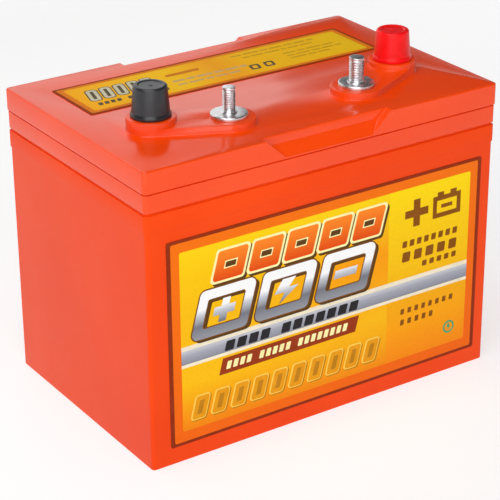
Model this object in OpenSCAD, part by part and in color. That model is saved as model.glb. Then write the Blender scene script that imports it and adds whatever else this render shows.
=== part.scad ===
// Deep cycle battery, group 24M size: six valve-regulated absorbent-mat cells in one case, with a
// tapered post and a threaded stud on each side.
// Frame: millimetres, +X along the case, the labelled long side towards -Y, +Z up, and the origin
// at the centre of the base. The negative terminal is at -X and the positive terminal at +X.

/* [Case] */
// Length of the case over its ends
case_l = 260; // [256:1:266]
// Width of the case over its long sides
case_w = 170; // [168:1:176]
// Height of the lid's top face
lid_top = 196; // [192:1:200]
// Radius of the upright corners
corner_r = 3; // [2:0.5:4]
// Thickness of the outer walls
wall_t = 3.5; // [3:0.25:3.75]
// Thickness of the walls between the cells
partition_t = 1.8; // [1.4:0.2:2.2]
// Thickness of the container's floor
floor_t = 4; // [3:0.5:5]

/* [Lid] */
// Height of the whole lid, from its weld to the container up to its top face
lid_h = 27; // [25:1:30]
// Height of the lid's upper band
upper_band_h = 14; // [12:1:15]
// Thickness of the lid's top
lid_t = 3.5; // [3:0.25:4]
// Length of each grip recess along the lid's top edge
grip_top_l = 93; // [80:1:100]
// Length of each grip recess along its foot
grip_foot_l = 64; // [50:1:70]
// How far each grip recess reaches in from the long side
grip_depth = 6; // [4:0.5:8]
// Depth of the upright back of each grip recess
grip_back_h = 6; // [4:1:8]
// Height of the lip left under each grip recess
grip_lip_h = 1; // [0.5:0.5:2]

/* [Terminals] */
// Distance of each post from the middle of the case, along X
post_x = 90; // [89:0.5:91]
// Distance of each post from the middle of the case, towards the front
post_y = 27.5; // [26:0.5:30]
// Distance of each stud from the middle of the case, along X
stud_x = 47.3; // [46:0.1:50]
// Distance of each stud from the middle of the case, towards the front
stud_y = 46.8; // [45:0.1:48]
// Height of the round boss under each post, above the lid
boss_h = 8; // [7:0.5:10]
// Height of the raised arm between post and stud, above the lid
arm_h = 4.5; // [4:0.5:6]
// Radius of the round boss
boss_r = 15.3; // [14.5:0.1:16]
// Radius of the arm's round end under the stud
arm_r = 16.5; // [15:0.5:17]
// Height of each tapered post above its boss
post_h = 17; // [16:0.5:18]
// Radius of the negative stud (5/16 inch thread)
negative_stud_r = 3.97; // [3.97, 4.76]
// Radius of the positive stud (3/8 inch thread)
positive_stud_r = 4.76; // [3.97, 4.76]
// Height of each stud above its flange
stud_h = 16; // [14:0.5:22]

/* [Cells] */
// Positive plates in each cell; there is one more negative plate
positive_plate_count = 6; // [4:1:7]
// Thickness of a positive plate
positive_plate_t = 2.1; // [1.8:0.1:2.3]
// Thickness of a negative plate
negative_plate_t = 1.6; // [1.4:0.1:1.8]
// Width of the plates
plate_w = 152; // [140:1:156]
// Height of the plates
plate_h = 135; // [120:1:138]

/* [Labels] */
// Width of the front label
front_label_w = 236; // [200:1:240]
// Height of the front label
front_label_h = 137; // [100:1:140]
// Length of the top label
top_label_l = 218; // [210:1:230]
// Width of the top label
top_label_w = 51; // [47:1:53]

/* [Hidden] */
$fn = 96;
overcut = 1;            // how far a cutter runs past the face it cuts
fit_gap = 0.05;         // radial clearance between a part and the hole that holds it
negative = -1;          // side of the case that holds the negative terminal, along X
positive = 1;
front = -1;             // side of the case that holds the front straps, along Y
back = 1;

// Case heights and insets. Insets are measured in from the full length and width.
joint_z = lid_top - lid_h;
band_z = lid_top - upper_band_h;
rim_h = 12;             // height of the thickened rim at the container's mouth
rim_z = joint_z - rim_h;
wall_inset = 1;
rim_inset = 0.4;
band_inset = 0.5;
groove_inset = 1.5;
weld_lip_h = 0.8;       // height of the set-back lip on each side of the weld line
band_groove_h = 0.9;
ceiling_z = lid_top - lid_t;

// Cells, counted from the negative end.
cells = 6;
cavity_l = case_l - 2 * (wall_inset + wall_t);
cavity_w = case_w - 2 * (wall_inset + wall_t);
cell_l = (cavity_l - (cells - 1) * partition_t) / cells;
cell_pitch = cell_l + partition_t;
function cell_x(i) = (i - (cells + 1) / 2) * cell_pitch;
function partition_x(i) = cell_x(i) + cell_pitch / 2;

// The straps change sides from cell to cell, so that each positive strap meets the next cell's
// negative strap through the wall between them.
function negative_side(i) = i % 2 == 1 ? front : back;
function positive_side(i) = -negative_side(i);

// Plate stack, along X: negative, mat, positive, mat, and so on, ending with a negative.
negative_plate_count = positive_plate_count + 1;
stack_gap = 0.2;        // space between the stack and the cell's walls
mat_fold = 1.5;         // thickness of the mat where it folds under a plate
mat_overlap = 3;        // how far the mat stands past its plate at the top and sides
mat_room = 0.02;        // space between a mat and each plate beside it
mat_t = (cell_l - 2 * stack_gap - negative_plate_count * negative_plate_t
    - positive_plate_count * positive_plate_t) / (2 * positive_plate_count);
plate_pitch = negative_plate_t + positive_plate_t + 2 * mat_t;
plate_z = floor_t + mat_fold;
plate_top = plate_z + plate_h;
lug_w = 12;
lug_h = 9;
strap_z = plate_top + lug_h;
strap_t = 6;
strap_w = 18;
strap_y = 31;
strap_end_gap = 0.5;
tombstone_t = 4;        // upright lug of a strap, against the wall between cells
tombstone_h = 12;
weld_r = 4.5;
weld_z = strap_z + strap_t + tombstone_h / 2;

// Valve gallery under the cover strip. The valves stand closer together than the cells do, so that
// the outer two stay inboard of the case's ends.
valve_pitch = 38;
cover_l = 214;
cover_w = 47;
cover_t = 3;
cover_gap = 0.2;
cover_ledge = 3;        // how far the strip bears on the lid all round
cover_y = 36.5;
gallery_h = 11;
gallery_wall = 4;
gallery_z = lid_top - cover_t - gallery_h;
neck_r = 5;
neck_bore_r = 2.5;
neck_h = 7;
valve_r = 7;
valve_crown_t = 1.5;
valve_lift = 0.8;       // room for the crown to rise under its pad
valve_foot_gap = 1;     // space between the valve's skirt and the gallery floor
pad_r = 6;
valve_top = gallery_z + neck_h + valve_crown_t;

// Terminals. Each is laid out on the positive side and mirrored for the negative.
boss_top = lid_top + boss_h;
arm_top = lid_top + arm_h;
under_boss_h = 7;       // depth of the moulding around the terminal, under the lid's top
under_boss_r = 14.5;
arm_root = 0.3;         // how far the arm's edge is set in under the edge of the boss
tangent_set_in = 0.02;
bushing_z = ceiling_z - under_boss_h;
bushing_r = 9.8;
barb_r = 11.4;
barb_h = 1.5;
barb_pitch = 5;
collar_r = 11.8;
collar_h = 1.5;
post_taper = 1 / 9;     // change of diameter along the post, per millimetre
negative_post_top_r = 15.9 / 2;
positive_post_top_r = 17.5 / 2;
post_chamfer = 1;
pillar_r = 4.2;
pillar_recess = 0.3;
post_top = boss_top + post_h;
link_t = 3;
link_z = lid_top - 2;
link_post_r = 13;
link_stud_r = 9;
stud_neck_r = 5.5;
stud_foot_r = 8;
stud_foot_h = 1.5;
flange_r = 11.5;
flange_h = 2.5;
stud_chamfer = 1;
stud_z = arm_top + flange_h;

// Terminal caps.
cap_clearance = 0.4;    // radial room between a cap's inside and its post
cap_crown_t = 2.2;
cap_crown_gap = 0.4;
cap_h = post_h + cap_crown_gap + cap_crown_t;
cap_edge = 1.6;
cap_flare_h = 3;
negative_cap_base_r = 12.4;
positive_cap_base_r = 12.5;
cap_flare = 0.9;
negative_cap_top_r = 10.2;
positive_cap_top_r = 10.4;

// Labels.
label_t = 0.3;
label_corner_r = 1.5;
front_label_z = 80;
front_label_x = 2;
top_label_y = 36.5;

case_colour = "orangered";
lead_colour = "slategray";
steel_colour = "silver";
label_colour = "gold";
positive_plate_colour = "saddlebrown";
negative_plate_colour = "gray";
mat_colour = "whitesmoke";

// ---------- shared shapes ----------

// Upright prism with round corners, centred on the Z axis, from z0 to z1.
module rounded_prism(l, w, r, z0, z1) {
    translate([0, 0, z0])
        linear_extrude(height = z1 - z0)
            rounded_rectangle(l, w, r);
}

module rounded_rectangle(l, w, r) {
    square([l - 2 * r, w], center = true);
    square([l, w - 2 * r], center = true);
    for (sx = [-1, 1], sy = [-1, 1])
        translate([sx * (l / 2 - r), sy * (w / 2 - r)]) circle(r);
}

// One level of the case: the full outline, set back by inset.
module case_level(inset, z0, z1) {
    rounded_prism(case_l - 2 * inset, case_w - 2 * inset, corner_r - inset / 2, z0, z1);
}

module disc(r, z0, z1) {
    translate([0, 0, z0]) cylinder(r = r, h = z1 - z0);
}

// Copies children onto one side of the case along X.
module on_side(side) {
    if (side == negative) mirror([1, 0, 0]) children();
    else children();
}

module at_post() {
    translate([post_x, -post_y, 0]) children();
}

module at_stud() {
    translate([stud_x, -stud_y, 0]) children();
}

// Outline of the straight part of an arm, between the tangents of its two round ends. Its corners lie
// just inside the round ends, so that its edges cross them cleanly.
module arm_web(post_end_r, stud_end_r) {
    run = [stud_x - post_x, post_y - stud_y];
    span = norm(run);
    tangent = acos((post_end_r - stud_end_r) / span);
    touch = [cos(tangent), sin(tangent)];
    post_point = (post_end_r - tangent_set_in) * touch;
    stud_point = [span, 0] + (stud_end_r - tangent_set_in) * touch;
    translate([post_x, -post_y])
        rotate(atan2(run[1], run[0]))
            polygon([
                post_point,
                stud_point,
                [stud_point[0], -stud_point[1]],
                [post_point[0], -post_point[1]]
            ]);
}

// Arm from the post to the stud, from z0 to z1.
module arm_prism(post_end_r, stud_end_r, z0, z1) {
    translate([0, 0, z0])
        linear_extrude(height = z1 - z0) {
            translate([post_x, -post_y]) circle(post_end_r);
            translate([stud_x, -stud_y]) circle(stud_end_r);
            arm_web(post_end_r, stud_end_r);
        }
}

// ---------- container ----------

module cell_cavity(i) {
    translate([cell_x(i) - cell_l / 2, -cavity_w / 2, floor_t])
        cube([cell_l, cavity_w, joint_z]);
}

module weld_cylinder(i, r, extra) {
    translate([partition_x(i) - partition_t / 2 - extra, positive_side(i) * strap_y, weld_z])
        rotate([0, 90, 0])
            cylinder(r = r, h = partition_t + 2 * extra);
}

module container() {
    color(case_colour)
        difference() {
            union() {
                case_level(wall_inset, 0, rim_z);
                case_level(rim_inset, rim_z, joint_z - weld_lip_h);
                case_level(groove_inset, joint_z - weld_lip_h, joint_z);
            }
            for (i = [1:cells]) cell_cavity(i);
            for (i = [1:cells - 1]) weld_cylinder(i, weld_r + fit_gap, overcut);
        }
}

// ---------- lid ----------

// Trapezoid opening of a grip recess, seen from the long side and run along Y.
module grip_face() {
    slope = (grip_top_l - grip_foot_l) / 2 / (upper_band_h - grip_lip_h);
    z0 = band_z + grip_lip_h - overcut;
    z1 = lid_top + overcut;
    half0 = grip_foot_l / 2 - slope * overcut;
    half1 = grip_top_l / 2 + slope * overcut;
    rotate([90, 0, 0])
        linear_extrude(height = case_w, center = true)
            polygon([[-half0, z0], [half0, z0], [half1, z1], [-half1, z1]]);
}

// Section of a grip recess across the lid: upright back, then a ramp out to the lip.
module grip_section() {
    y_back = case_w / 2 - grip_depth;
    y_face = case_w / 2;
    z_back = lid_top - grip_back_h;
    z_lip = band_z + grip_lip_h;
    fall = (z_back - z_lip) / grip_depth;
    rotate([90, 0, 90])
        linear_extrude(height = case_l, center = true)
            polygon([
                [y_back, lid_top + overcut],
                [y_back, z_back],
                [y_face + overcut, z_lip - fall * overcut],
                [y_face + overcut, lid_top + overcut]
            ]);
}

module grip_recess() {
    intersection() {
        grip_face();
        grip_section();
    }
}

module grip_backing() {
    backing_l = grip_top_l + 2 * wall_t;
    y0 = case_w / 2 - grip_depth - wall_t;
    translate([-backing_l / 2, y0, band_z - wall_t])
        cube([backing_l, cavity_w / 2 - y0 + overcut, upper_band_h]);
}

module on_both_long_sides() {
    children();
    mirror([0, 1, 0]) children();
}

module on_both_ends() {
    on_side(negative) children();
    on_side(positive) children();
}

module gallery_block() {
    l = cover_l - 2 * cover_ledge + 2 * gallery_wall;
    w = cover_w - 2 * cover_ledge + 2 * gallery_wall;
    translate([-l / 2, cover_y - w / 2, gallery_z - gallery_wall])
        cube([l, w, lid_top - gallery_z]);
}

module gallery_hollow() {
    l = cover_l - 2 * cover_ledge;
    w = cover_w - 2 * cover_ledge;
    translate([-l / 2, cover_y - w / 2, gallery_z])
        cube([l, w, lid_top - gallery_z + overcut]);
    translate([-cover_l / 2 - cover_gap, cover_y - cover_w / 2 - cover_gap, lid_top - cover_t])
        cube([cover_l + 2 * cover_gap, cover_w + 2 * cover_gap, cover_t + overcut]);
}

module at_valve(i) {
    translate([(i - (cells + 1) / 2) * valve_pitch, cover_y, 0]) children();
}

module terminal_moulding() {
    arm_prism(under_boss_r, under_boss_r, bushing_z, ceiling_z + overcut);
}

module lid_hollow() {
    difference() {
        translate([-cavity_l / 2, -cavity_w / 2, joint_z - overcut])
            cube([cavity_l, cavity_w, ceiling_z - joint_z + overcut]);
        for (i = [1:cells - 1])
            translate([partition_x(i) - partition_t / 2, -case_w / 2, joint_z - 2 * overcut])
                cube([partition_t, case_w, lid_h]);
        on_both_long_sides() grip_backing();
        on_both_ends() terminal_moulding();
        gallery_block();
    }
}

module lid_shell() {
    case_level(groove_inset, joint_z, joint_z + weld_lip_h);
    case_level(band_inset, joint_z + weld_lip_h, band_z - band_groove_h);
    case_level(groove_inset, band_z - band_groove_h, band_z);
    case_level(0, band_z, lid_top);
}

module lid() {
    color(case_colour) {
        difference() {
            union() {
                lid_shell();
                on_both_ends() {
                    arm_prism(boss_r - arm_root, arm_r, lid_top, arm_top);
                    at_post() disc(boss_r, lid_top, boss_top);
                }
            }
            lid_hollow();
            gallery_hollow();
            for (i = [1:cells]) at_valve(i) disc(neck_bore_r, gallery_z - 2 * gallery_wall, lid_top);
            on_both_long_sides() grip_recess();
            on_both_ends() {
                at_post() bushing_body(fit_gap);
                link_pocket(fit_gap);
                at_stud() stud_root(fit_gap);
            }
        }
        for (i = [1:cells]) at_valve(i) valve_neck();
    }
}

module valve_neck() {
    difference() {
        disc(neck_r, gallery_z, gallery_z + neck_h);
        disc(neck_bore_r, gallery_z - overcut, gallery_z + neck_h + overcut);
    }
}

// ---------- cover strip and relief valves ----------

module valve_cover() {
    color(case_colour) {
        translate([-cover_l / 2, cover_y - cover_w / 2, lid_top - cover_t])
            cube([cover_l, cover_w, cover_t]);
        for (i = [1:cells]) at_valve(i) disc(pad_r, valve_top + valve_lift, lid_top - cover_t + overcut);
    }
}

module relief_valve(i) {
    color("dimgray")
        at_valve(i)
            difference() {
                disc(valve_r, gallery_z + valve_foot_gap, valve_top);
                disc(neck_r + fit_gap, gallery_z, gallery_z + neck_h);
            }
}

// ---------- terminals ----------

// The lead moulded into the lid: a barrel with barbs, and a collar flush with the boss.
module bushing_body(gap) {
    disc(bushing_r + gap, bushing_z, boss_top - collar_h);
    for (k = [0, 1])
        disc(barb_r + gap, bushing_z + 1 + k * barb_pitch, bushing_z + 1 + k * barb_pitch + barb_h);
    disc(collar_r + gap, boss_top - collar_h, boss_top);
}

module terminal_post(side, top_r) {
    base_r = top_r + post_h * post_taper / 2;
    color(lead_colour)
        on_side(side)
            at_post()
                difference() {
                    union() {
                        bushing_body(0);
                        translate([0, 0, boss_top])
                            cylinder(r1 = base_r, r2 = top_r, h = post_h - post_chamfer);
                        translate([0, 0, post_top - post_chamfer])
                            cylinder(r1 = top_r, r2 = top_r - post_chamfer, h = post_chamfer);
                    }
                    disc(pillar_r + fit_gap, bushing_z - overcut, post_top + overcut);
                }
}

module terminal_pillar(side) {
    color(lead_colour)
        on_side(side)
            at_post() disc(pillar_r, strap_z + strap_t, post_top - pillar_recess);
}

module link_pocket(gap) {
    arm_prism(link_post_r + gap, link_stud_r + gap, link_z, link_z + link_t);
}

module link(side) {
    color("darkgoldenrod")
        on_side(side)
            difference() {
                union() {
                    at_post() disc(link_post_r, link_z, link_z + link_t);
                    at_stud() disc(link_stud_r, link_z, link_z + link_t);
                    translate([0, 0, link_z])
                        linear_extrude(height = link_t) arm_web(link_post_r, link_stud_r);
                }
                at_post() disc(bushing_r + fit_gap, link_z - overcut, link_z + link_t + overcut);
                at_stud() disc(stud_neck_r + fit_gap, link_z - overcut, link_z + link_t + overcut);
            }
}

// The part of a stud that is held in the lid: a riveted foot and a neck.
module stud_root(gap) {
    disc(stud_foot_r + gap, link_z - stud_foot_h, link_z);
    disc(stud_neck_r + gap, link_z, arm_top);
}

module stud(side, thread_r) {
    color(steel_colour)
        on_side(side)
            at_stud() {
                stud_root(0);
                disc(flange_r, arm_top, stud_z);
                disc(thread_r, stud_z, stud_z + stud_h - stud_chamfer);
                translate([0, 0, stud_z + stud_h - stud_chamfer])
                    cylinder(r1 = thread_r, r2 = thread_r - stud_chamfer, h = stud_chamfer);
            }
}

// Push-on cap: a tapered skirt with a flared lip and a broken top edge.
module cap(side, colour, base_r, top_r, post_top_r) {
    post_base_r = post_top_r + post_h * post_taper / 2;
    inner_h = post_h + cap_crown_gap;
    color(colour)
        on_side(side)
            at_post()
                translate([0, 0, boss_top])
                    rotate_extrude()
                        polygon([
                            [post_base_r + cap_clearance, 0],
                            [base_r, 0],
                            [base_r, cap_flare_h / 2],
                            [base_r - cap_flare, cap_flare_h],
                            [top_r, cap_h - cap_edge],
                            [top_r - cap_edge, cap_h],
                            [0, cap_h],
                            [0, inner_h],
                            [post_top_r + cap_clearance, inner_h]
                        ]);
}

// ---------- cells ----------

// Left face of the stack in cell i.
function stack_x(i) = cell_x(i) - cell_l / 2 + stack_gap;
function negative_plate_x(i, k) = stack_x(i) + k * plate_pitch;
function positive_plate_x(i, k) = negative_plate_x(i, k) + negative_plate_t + mat_t;

module plate(x, t, side) {
    translate([x, -plate_w / 2, plate_z]) cube([t, plate_w, plate_h]);
    translate([x, side * strap_y - lug_w / 2, plate_top]) cube([t, lug_w, lug_h]);
}

module positive_plates(i) {
    color(positive_plate_colour)
        for (k = [0:positive_plate_count - 1])
            plate(positive_plate_x(i, k), positive_plate_t, positive_side(i));
}

module negative_plates(i) {
    color(negative_plate_colour)
        for (k = [0:negative_plate_count - 1])
            plate(negative_plate_x(i, k), negative_plate_t, negative_side(i));
}

// One absorbent mat for each positive plate, folded under it and up both of its faces.
module separators(i) {
    mat_w = plate_w + 2 * mat_overlap;
    mat_h = mat_fold + plate_h + mat_overlap;
    color(mat_colour)
        for (k = [0:positive_plate_count - 1])
            translate([positive_plate_x(i, k) - mat_t + mat_room, -mat_w / 2, floor_t])
                difference() {
                    cube([positive_plate_t + 2 * (mat_t - mat_room), mat_w, mat_h]);
                    translate([mat_t - 2 * mat_room, -overcut, mat_fold])
                        cube([positive_plate_t + 2 * mat_room, mat_w + 2 * overcut, mat_h]);
                }
}

// Cast bar over the plate lugs. to_partition is the side, along X, of the wall that its upright
// lug meets, or 0 in the end cells, where a terminal pillar stands on the bar.
module strap(i, side, to_partition) {
    bar_l = cell_l - 2 * strap_end_gap;
    color(lead_colour)
        translate([cell_x(i), side * strap_y - strap_w / 2, strap_z]) {
            translate([-bar_l / 2, 0, 0]) cube([bar_l, strap_w, strap_t]);
            if (to_partition != 0)
                translate([to_partition * (cell_l - tombstone_t) / 2 - tombstone_t / 2, 0, 0])
                    cube([tombstone_t, strap_w, strap_t + tombstone_h]);
        }
}

module positive_strap(i) {
    strap(i, positive_side(i), i < cells ? 1 : 0);
}

module negative_strap(i) {
    strap(i, negative_side(i), i > 1 ? -1 : 0);
}

module intercell_welds() {
    color(lead_colour)
        for (i = [1:cells - 1]) weld_cylinder(i, weld_r, 0);
}

// ---------- labels ----------

module front_label() {
    color(label_colour)
        translate([front_label_x, wall_inset - case_w / 2, front_label_z])
            rotate([90, 0, 0])
                rounded_prism(front_label_w, front_label_h, label_corner_r, 0, label_t);
}

module top_label() {
    color(label_colour)
        translate([0, top_label_y, lid_top])
            rounded_prism(top_label_l, top_label_w, label_corner_r, 0, label_t);
}

// ---------- one node at a time, or all of them ----------

container();
lid();
valve_cover();
front_label();
top_label();
relief_valve(1);  // relief_valve_1
relief_valve(2);  // relief_valve_2
relief_valve(3);  // relief_valve_3
relief_valve(4);  // relief_valve_4
relief_valve(5);  // relief_valve_5
relief_valve(6);  // relief_valve_6
terminal_post(negative, negative_post_top_r);  // negative_post
terminal_pillar(negative);  // negative_pillar
link(negative);  // negative_link
stud(negative, negative_stud_r);  // negative_stud
cap(negative, "black", negative_cap_base_r, negative_cap_top_r, negative_post_top_r);  // negative_cap
terminal_post(positive, positive_post_top_r);  // positive_post
terminal_pillar(positive);  // positive_pillar
link(positive);  // positive_link
stud(positive, positive_stud_r);  // positive_stud
cap(positive, "red", positive_cap_base_r, positive_cap_top_r, positive_post_top_r);  // positive_cap
positive_plates(1);  // positive_plates_1
positive_plates(2);  // positive_plates_2
positive_plates(3);  // positive_plates_3
positive_plates(4);  // positive_plates_4
positive_plates(5);  // positive_plates_5
positive_plates(6);  // positive_plates_6
negative_plates(1);  // negative_plates_1
negative_plates(2);  // negative_plates_2
negative_plates(3);  // negative_plates_3
negative_plates(4);  // negative_plates_4
negative_plates(5);  // negative_plates_5
negative_plates(6);  // negative_plates_6
separators(1);  // separators_1
separators(2);  // separators_2
separators(3);  // separators_3
separators(4);  // separators_4
separators(5);  // separators_5
separators(6);  // separators_6
positive_strap(1);  // positive_strap_1
positive_strap(2);  // positive_strap_2
positive_strap(3);  // positive_strap_3
positive_strap(4);  // positive_strap_4
positive_strap(5);  // positive_strap_5
positive_strap(6);  // positive_strap_6
negative_strap(1);  // negative_strap_1
negative_strap(2);  // negative_strap_2
negative_strap(3);  // negative_strap_3
negative_strap(4);  // negative_strap_4
negative_strap(5);  // negative_strap_5
negative_strap(6);  // negative_strap_6
intercell_welds();
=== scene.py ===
"""Looks for a deep cycle battery: an orange plastic case with printed labels, capped lead posts and
bright threaded studs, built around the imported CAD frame. Values named *_MM and the labels' layouts
are in millimetres, and everything else is in metres, in the frame's own axes: +X along the case
towards the positive terminal, the labelled front towards -Y, +Z up."""

import math

import bmesh
import bpy
from mathutils import Matrix, Vector


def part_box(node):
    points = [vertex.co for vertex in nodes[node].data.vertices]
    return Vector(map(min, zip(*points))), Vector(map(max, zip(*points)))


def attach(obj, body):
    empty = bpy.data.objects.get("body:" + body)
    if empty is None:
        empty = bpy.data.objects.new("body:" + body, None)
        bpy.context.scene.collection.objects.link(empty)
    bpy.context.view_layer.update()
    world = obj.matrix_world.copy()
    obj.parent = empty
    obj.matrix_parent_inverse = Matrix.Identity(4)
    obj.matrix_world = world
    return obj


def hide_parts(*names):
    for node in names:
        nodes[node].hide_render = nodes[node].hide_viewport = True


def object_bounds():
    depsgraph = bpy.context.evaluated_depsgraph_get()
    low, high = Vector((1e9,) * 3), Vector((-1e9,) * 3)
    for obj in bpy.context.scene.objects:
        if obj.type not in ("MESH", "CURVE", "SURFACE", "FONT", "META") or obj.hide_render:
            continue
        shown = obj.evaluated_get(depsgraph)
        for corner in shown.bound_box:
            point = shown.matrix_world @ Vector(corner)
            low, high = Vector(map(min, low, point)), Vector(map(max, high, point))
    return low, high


MM = 0.001
BODY = "battery"

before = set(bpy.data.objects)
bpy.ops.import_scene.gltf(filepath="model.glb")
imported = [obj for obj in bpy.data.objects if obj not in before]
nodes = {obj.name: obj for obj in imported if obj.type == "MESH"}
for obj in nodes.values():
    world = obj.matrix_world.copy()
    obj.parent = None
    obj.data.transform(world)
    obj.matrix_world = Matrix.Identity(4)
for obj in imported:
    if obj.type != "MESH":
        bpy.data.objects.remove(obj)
cad_low, cad_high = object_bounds()
lid_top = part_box("top_label")[0].z


# ---------------------------------------------------------------- node helpers


class Shader:
    """A material under construction, with short calls for the nodes that it uses."""

    def __init__(self, name):
        self.material = bpy.data.materials.new(name)
        self.material.use_nodes = True
        self.tree = self.material.node_tree
        self.surface = self.tree.nodes["Principled BSDF"]
        self.place = self.tree.nodes.new("ShaderNodeTexCoord").outputs["Object"]

    def set(self, **values):
        """Uniform values, by socket name with spaces as underscores."""
        for key, value in values.items():
            self.surface.inputs[key.replace("_", " ")].default_value = value
        return self

    def link(self, output, socket):
        self.tree.links.new(output, socket)

    def mapped(self, scale=(1, 1, 1), offset=(0, 0, 0)):
        node = self.tree.nodes.new("ShaderNodeMapping")
        node.inputs["Scale"].default_value = scale
        node.inputs["Location"].default_value = offset
        self.link(self.place, node.inputs["Vector"])
        return node.outputs["Vector"]

    def noise(self, size, detail=3.0, stretch=(1, 1, 1), roughness=0.5):
        """Noise whose features are about size metres across."""
        node = self.tree.nodes.new("ShaderNodeTexNoise")
        node.inputs["Scale"].default_value = 1 / size
        node.inputs["Detail"].default_value = detail
        node.inputs["Roughness"].default_value = roughness
        self.link(self.mapped(stretch), node.inputs["Vector"])
        return node.outputs["Fac"]

    def cells(self, size, feature="F1"):
        node = self.tree.nodes.new("ShaderNodeTexVoronoi")
        node.feature = feature
        node.inputs["Scale"].default_value = 1 / size
        self.link(self.mapped(), node.inputs["Vector"])
        return node.outputs["Distance"]

    def along(self, axis, start, end):
        """0 at start and 1 at end, along axis 0, 1 or 2."""
        split = self.tree.nodes.new("ShaderNodeSeparateXYZ")
        self.link(self.place, split.inputs["Vector"])
        return self.between(split.outputs[axis], start, end)

    def outward(self, start, end):
        """0 at start metres from the origin and 1 at end."""
        length = self.tree.nodes.new("ShaderNodeVectorMath")
        length.operation = "LENGTH"
        self.link(self.place, length.inputs[0])
        return self.between(length.outputs["Value"], start, end)

    def between(self, value, start, end):
        ramp = self.tree.nodes.new("ShaderNodeMapRange")
        ramp.inputs["From Min"].default_value = start
        ramp.inputs["From Max"].default_value = end
        self.link(value, ramp.inputs["Value"])
        return ramp.outputs["Result"]

    def ramp(self, value, stops, smooth=False):
        """Colours or greys at places from 0 to 1."""
        node = self.tree.nodes.new("ShaderNodeValToRGB")
        node.color_ramp.interpolation = "EASE" if smooth else "LINEAR"
        elements = node.color_ramp.elements
        while len(elements) < len(stops):
            elements.new(0.5)
        for element, (place, colour) in zip(elements, stops):
            element.position = place
            if isinstance(colour, (int, float)):
                colour = (colour, colour, colour)
            element.color = (*colour, 1)
        self.link(value, node.inputs["Fac"])
        return node.outputs["Color"]

    def mix(self, factor, a, b, blend="MIX"):
        """Mixes two colours, each given as a socket or a tuple."""
        node = self.tree.nodes.new("ShaderNodeMix")
        node.data_type = "RGBA"
        node.blend_type = blend
        for value, socket in ((factor, node.inputs[0]), (a, node.inputs[6]), (b, node.inputs[7])):
            if isinstance(value, bpy.types.NodeSocket):
                self.link(value, socket)
            else:
                socket.default_value = value if isinstance(value, float) else (*value, 1)
        return node.outputs[2]

    def maths(self, operation, a, b):
        node = self.tree.nodes.new("ShaderNodeMath")
        node.operation = operation
        for value, socket in ((a, node.inputs[0]), (b, node.inputs[1])):
            if isinstance(value, bpy.types.NodeSocket):
                self.link(value, socket)
            else:
                socket.default_value = value
        return node.outputs["Value"]

    def colour(self, output):
        self.link(output, self.surface.inputs["Base Color"])
        return self

    def roughness(self, value, low, high):
        """Roughness from low to high as value goes from 0 to 1."""
        self.link(self.ramp(value, [(0, low), (1, high)]), self.surface.inputs["Roughness"])
        return self

    def bump(self, height, depth, strength=1.0):
        """Surface relief, depth metres from the height's 0 to its 1. Calls add up."""
        node = self.tree.nodes.new("ShaderNodeBump")
        node.inputs["Strength"].default_value = strength
        node.inputs["Distance"].default_value = depth
        self.link(height, node.inputs["Height"])
        normal = self.surface.inputs["Normal"]
        if normal.is_linked:
            self.link(normal.links[0].from_socket, node.inputs["Normal"])
        self.link(node.outputs["Normal"], normal)
        return self


def srgb(red, green, blue):
    """A colour from its 0 to 255 screen values."""

    def linear(value):
        value /= 255
        return value / 12.92 if value <= 0.04045 else ((value + 0.055) / 1.055) ** 2.4

    return (linear(red), linear(green), linear(blue))


# ---------------------------------------------------------------- materials


def case_plastic(name, gloss_low, gloss_high, ripple, shine):
    """Moulded orange polypropylene: faint colour drift, flow ripple and a fine moulded grain."""
    s = Shader(name)
    drift = s.noise(0.09, 2.0)
    tone = s.ramp(drift, [(0.3, CASE_DEEP), (0.7, CASE_BRIGHT)])
    specks = s.ramp(s.noise(0.0011, 1.0), [(0.62, 0.0), (0.8, 1.0)])
    s.colour(s.mix(s.maths("MULTIPLY", specks, 0.12), tone, CASE_SPECK))
    s.roughness(s.noise(0.018, 4.0), gloss_low, gloss_high)
    s.bump(s.noise(0.03, 2.0), ripple)
    s.bump(s.noise(0.0009, 2.0), 0.000012)
    s.set(Specular_IOR_Level=shine, IOR=1.49)
    return s.material


def cap_plastic(name, deep, bright, shine):
    """Soft moulded cap: satin skin, faint vertical draw marks and handling scuffs."""
    s = Shader(name)
    tone = s.ramp(s.noise(0.006, 3.0), [(0.3, deep), (0.7, bright)])
    s.colour(tone)
    s.roughness(s.noise(0.003, 4.0), 0.26, 0.42)
    s.bump(s.noise(0.0012, 2.0, stretch=(1, 1, 0.08)), 0.00003)
    s.bump(s.noise(0.0004, 2.0), 0.00001)
    s.set(IOR=1.5, Specular_IOR_Level=shine)
    return s.material


def bright_steel(name):
    """Bright plated stud: fine turning marks round the axis and slight tarnish."""
    s = Shader(name)
    s.colour(s.ramp(s.noise(0.004, 4.0), [(0.3, (0.62, 0.62, 0.64)), (0.7, (0.86, 0.86, 0.87))]))
    s.roughness(s.noise(0.0008, 3.0, stretch=(0.15, 0.15, 3)), 0.2, 0.36)
    s.bump(s.noise(0.0006, 2.0, stretch=(0.1, 0.1, 4)), 0.000012)
    s.set(Metallic=1.0)
    return s.material


def cast_lead(name):
    """Dull cast lead: mottled oxide, soft pits and a few bright rubs."""
    s = Shader(name)
    mottle = s.noise(0.004, 5.0)
    tones = [(0.3, (0.12, 0.125, 0.14)), (0.55, (0.25, 0.255, 0.27)), (0.75, (0.42, 0.42, 0.43))]
    s.colour(s.ramp(mottle, tones))
    s.roughness(mottle, 0.62, 0.36)
    s.bump(s.noise(0.0016, 4.0), 0.00012)
    s.bump(s.cells(0.0007), 0.00003)
    s.set(Metallic=0.85)
    return s.material


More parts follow.
